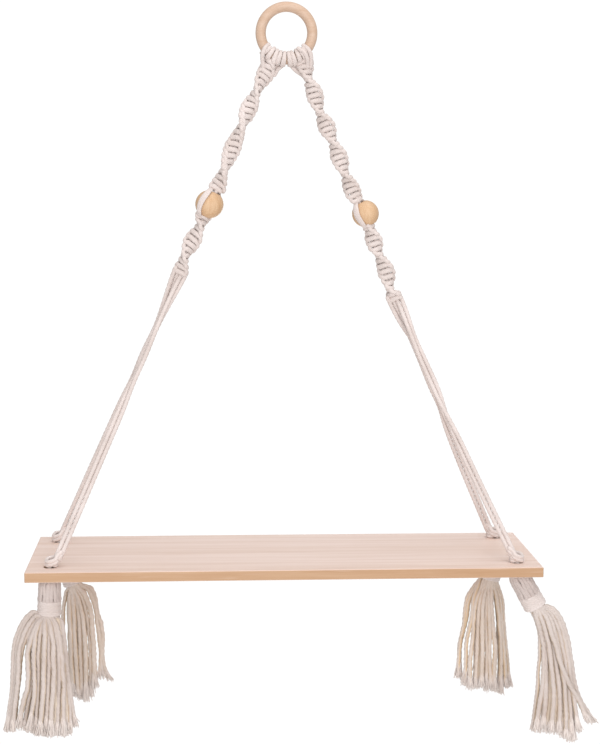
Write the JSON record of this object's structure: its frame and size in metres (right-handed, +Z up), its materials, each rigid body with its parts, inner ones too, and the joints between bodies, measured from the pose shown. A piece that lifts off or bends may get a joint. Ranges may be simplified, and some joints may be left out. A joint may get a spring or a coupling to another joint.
{
  "type": "macrame hanging shelf with wooden board and ring",
  "caption": "Hanging shelf: a pine board on two twisted cotton macrame cords with wooden beads and corner tassels, gathered on a wooden ring.",
  "frame": {"origin": "the point inside the top of the ring that rests on a hook or nail", "axes": "+Z up, +X to the viewer's right along the board, +Y away from the viewer, towards the wall"},
  "size_m": [0.5728, 0.1535, 0.7165],
  "materials": {
    "board_wood": "bare sanded pine, pale and slightly pink",
    "ring_wood": "bare turned beech, smooth",
    "bead_wood": "bare turned wood, smooth, warmer than the ring",
    "cotton_cord": "undyed twisted cotton cord, matt"
  },
  "bodies": {
    "root": {"ring": "ring_wood", "board": "board_wood", "bead_left": "bead_wood", "bead_right": "bead_wood", "macrame_left": "cotton_cord", "macrame_right": "cotton_cord", "tassel_front_left": "cotton_cord", "tassel_front_right": "cotton_cord", "tassel_rear_left": "cotton_cord", "tassel_rear_right": "cotton_cord", "binding_front_left": "cotton_cord", "binding_front_right": "cotton_cord", "binding_rear_left": "cotton_cord", "binding_rear_right": "cotton_cord"}
  },
  "joints": []
}
